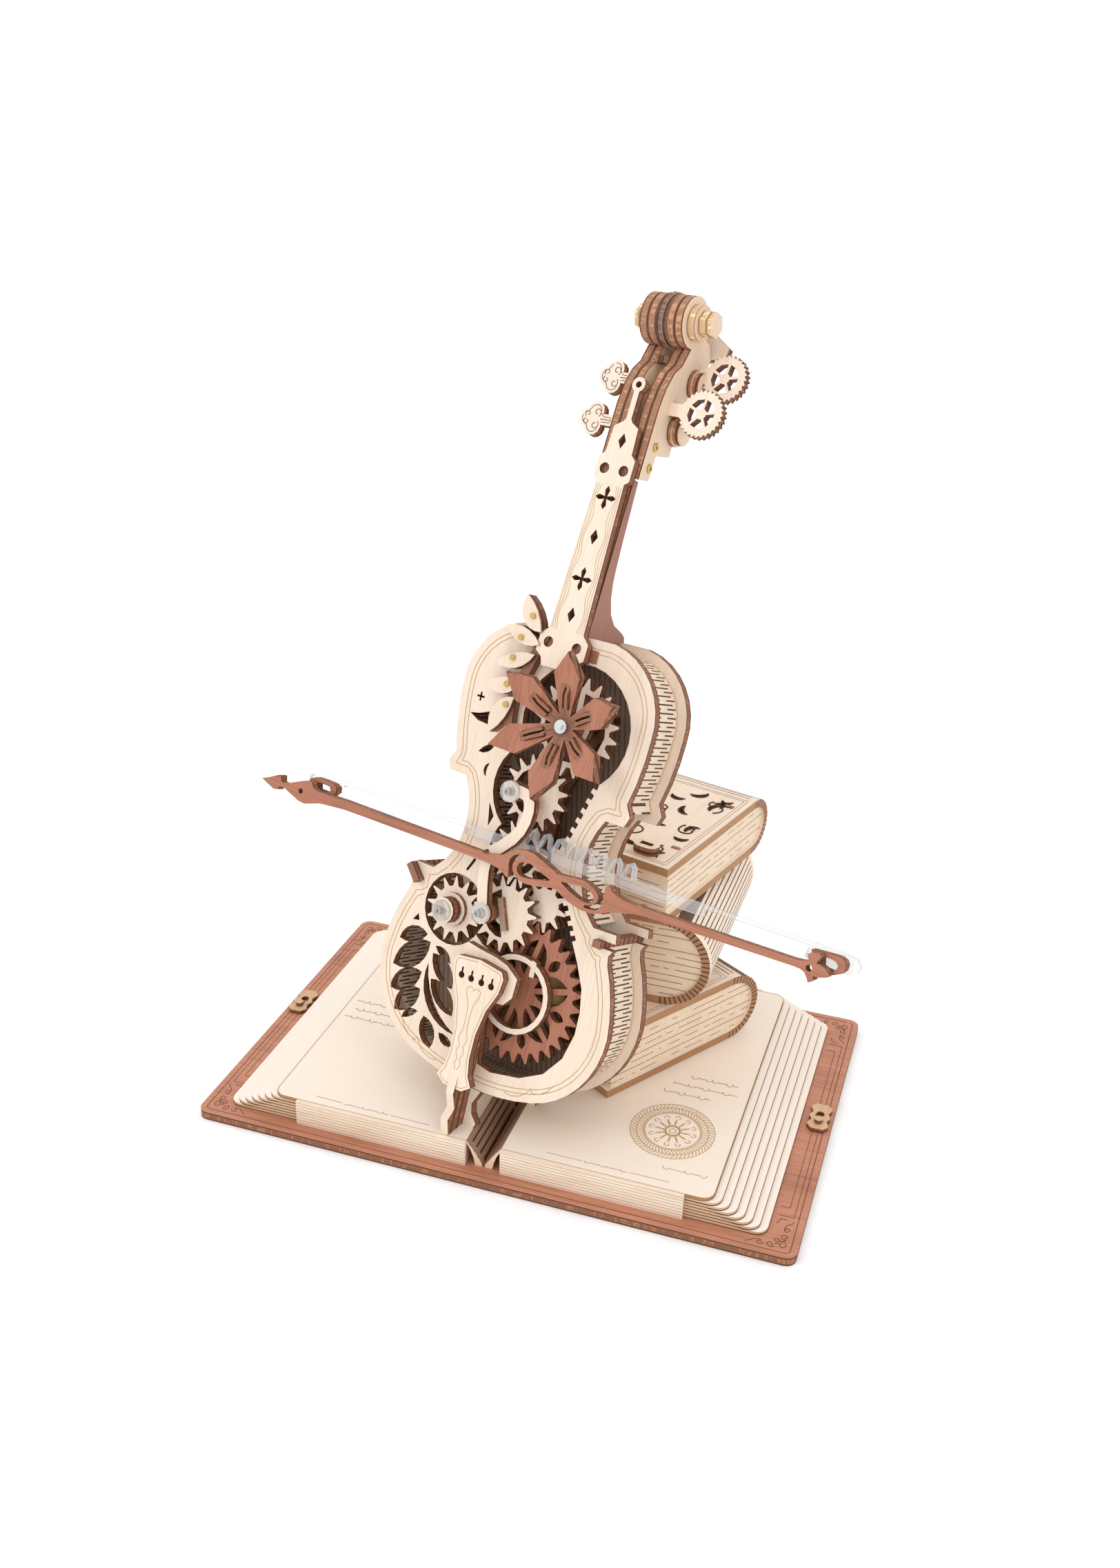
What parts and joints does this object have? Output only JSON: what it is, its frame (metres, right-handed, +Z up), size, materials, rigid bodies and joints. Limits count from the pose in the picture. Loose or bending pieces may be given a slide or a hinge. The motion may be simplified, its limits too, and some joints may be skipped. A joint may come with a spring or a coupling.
{
  "type": "mechanical music box",
  "caption": "Wind-up plywood music box: a cello with visible gears, a turning flower and a moving bow, leaning on closed books over a large open book.",
  "frame": {"origin": "centre of the underside of the cover board, on the table", "axes": "+X to the viewer's right along the open book, +Y to the back, +Z up"},
  "size_m": [0.2368, 0.1577, 0.2862],
  "materials": {
    "pale_ply": "pale laser-cut basswood plywood, satin, brown burnt edges",
    "red_ply": "red-brown stained plywood, satin, dark burnt edges",
    "dark_ply": "dark brown plywood, matt",
    "page_ply": "pale plywood with fine page lines, satin",
    "clear_acrylic": "clear polished acrylic",
    "brass": "polished brass",
    "steel": "brushed bright steel"
  },
  "bodies": {
    "music_box": {"cover_board": "red_ply", "left_page_stack": "page_ply", "right_page_stack": "page_ply", "page_sheets": "page_ply", "page_edge_strips": "page_ply", "gutter_strips": "dark_ply", "cover_clasps": "red_ply", "lower_book_cover": "pale_ply", "lower_book_pages": "page_ply", "middle_book_cover": "pale_ply", "middle_book_pages": "page_ply", "upper_book_cover": "pale_ply", "upper_book_pages": "page_ply", "upper_book_loop": "dark_ply", "front_plate": "pale_ply", "back_plate": "pale_ply", "upper_rib": "pale_ply", "lower_rib": "pale_ply", "waist_ribs": "pale_ply", "lock_tabs": "dark_ply", "prop_wedge": "pale_ply", "gear_bridge": "pale_ply", "bridge_posts": "dark_ply", "movement_frame": "steel", "tuned_comb": "steel", "tailpiece": "pale_ply", "tailpiece_backing": "pale_ply", "foot": "dark_ply", "fingerboard": "pale_ply", "sprig_stem": "dark_ply", "sprig_leaves": "pale_ply", "sprig_rivets": "brass", "neck_side_plates": "red_ply", "head_plates": "pale_ply", "neck_core": "pale_ply", "scroll_discs": "dark_ply", "scroll_ends": "pale_ply", "scroll_back_plate": "pale_ply", "peg_wheels": "pale_ply", "peg_heads": "pale_ply", "peg_bosses": "pale_ply"},
    "barrel": {"spring_barrel": "brass", "rosette_gear": "red_ply"},
    "key": {"winding_key": "brass"},
    "cylinder": {"pinned_cylinder": "brass"},
    "air_brake": {"governor": "steel"},
    "transfer": {"transfer_gear": "pale_ply"},
    "lower_crank": {"lower_crank_gear": "pale_ply", "lower_crank_cap": "clear_acrylic"},
    "idler": {"idler_gear": "pale_ply"},
    "upper_crank": {"upper_crank_gear": "pale_ply", "upper_crank_cap": "clear_acrylic"},
    "flower": {"flower_gear": "pale_ply", "flower_hub": "clear_acrylic", "flower_petals": "red_ply"},
    "side_wheel": {"side_gear": "pale_ply", "side_gear_cap": "clear_acrylic"},
    "bow": {"bow_arms": "pale_ply", "bow_stick": "red_ply", "bow_hair": "clear_acrylic"}
  },
  "joints": [
    {"name": "barrel_turn", "type": "hinge", "parent": "music_box", "child": "barrel", "pos_m": [0.0007, -0.04151, 0.0626], "axis": [-0.2775, -0.893, 0.3543], "continuous": true},
    {"name": "key_wind", "type": "hinge", "parent": "music_box", "child": "key", "pos_m": [0.0007, -0.04151, 0.0626], "axis": [-0.2775, -0.893, 0.3543], "continuous": true},
    {"name": "cylinder_turn", "type": "hinge", "parent": "music_box", "child": "cylinder", "pos_m": [-0.01651, -0.03624, 0.0624], "axis": [-0.2775, -0.893, 0.3543], "continuous": true},
    {"name": "air_brake_spin", "type": "hinge", "parent": "music_box", "child": "air_brake", "pos_m": [-0.02231, -0.03198, 0.06861], "axis": [-0.2775, -0.893, 0.3543], "continuous": true},
    {"name": "transfer_turn", "type": "hinge", "parent": "music_box", "child": "transfer", "pos_m": [0.00551, -0.03114, 0.09249], "axis": [-0.2775, -0.893, 0.3543], "continuous": true},
    {"name": "lower_crank_turn", "type": "hinge", "parent": "music_box", "child": "lower_crank", "pos_m": [-0.00725, -0.02978, 0.08595], "axis": [-0.2775, -0.893, 0.3543], "continuous": true},
    {"name": "idler_turn", "type": "hinge", "parent": "music_box", "child": "idler", "pos_m": [-0.00469, -0.02236, 0.10663], "axis": [-0.2775, -0.893, 0.3543], "continuous": true},
    {"name": "upper_crank_turn", "type": "hinge", "parent": "music_box", "child": "upper_crank", "pos_m": [-0.00214, -0.01495, 0.12731], "axis": [-0.2775, -0.893, 0.3543], "continuous": true},
    {"name": "flower_turn", "type": "hinge", "parent": "music_box", "child": "flower", "pos_m": [0.00963, -0.00897, 0.15161], "axis": [-0.2775, -0.893, 0.3543], "continuous": true},
    {"name": "side_wheel_turn", "type": "hinge", "parent": "music_box", "child": "side_wheel", "pos_m": [-0.02831, -0.02522, 0.08095], "axis": [-0.2775, -0.893, 0.3543], "continuous": true},
    {"name": "bow_carry", "type": "hinge", "parent": "upper_crank", "child": "bow", "pos_m": [-0.00694, -0.01374, 0.12661], "axis": [-0.2775, -0.893, 0.3543], "continuous": true}
  ],
  "couplings": [
    {"joint": "transfer_turn", "follows": "barrel_turn", "ratio": -3},
    {"joint": "lower_crank_turn", "follows": "barrel_turn", "ratio": 3.75},
    {"joint": "idler_turn", "follows": "barrel_turn", "ratio": -4.3269},
    {"joint": "upper_crank_turn", "follows": "barrel_turn", "ratio": 3.75},
    {"joint": "flower_turn", "follows": "barrel_turn", "ratio": -2.8125},
    {"joint": "side_wheel_turn", "follows": "barrel_turn", "ratio": -4.3269},
    {"joint": "bow_carry", "follows": "barrel_turn", "ratio": -3.75},
    {"joint": "cylinder_turn", "follows": "barrel_turn", "ratio": -3},
    {"joint": "air_brake_spin", "follows": "barrel_turn", "ratio": 11.25}
  ]
}
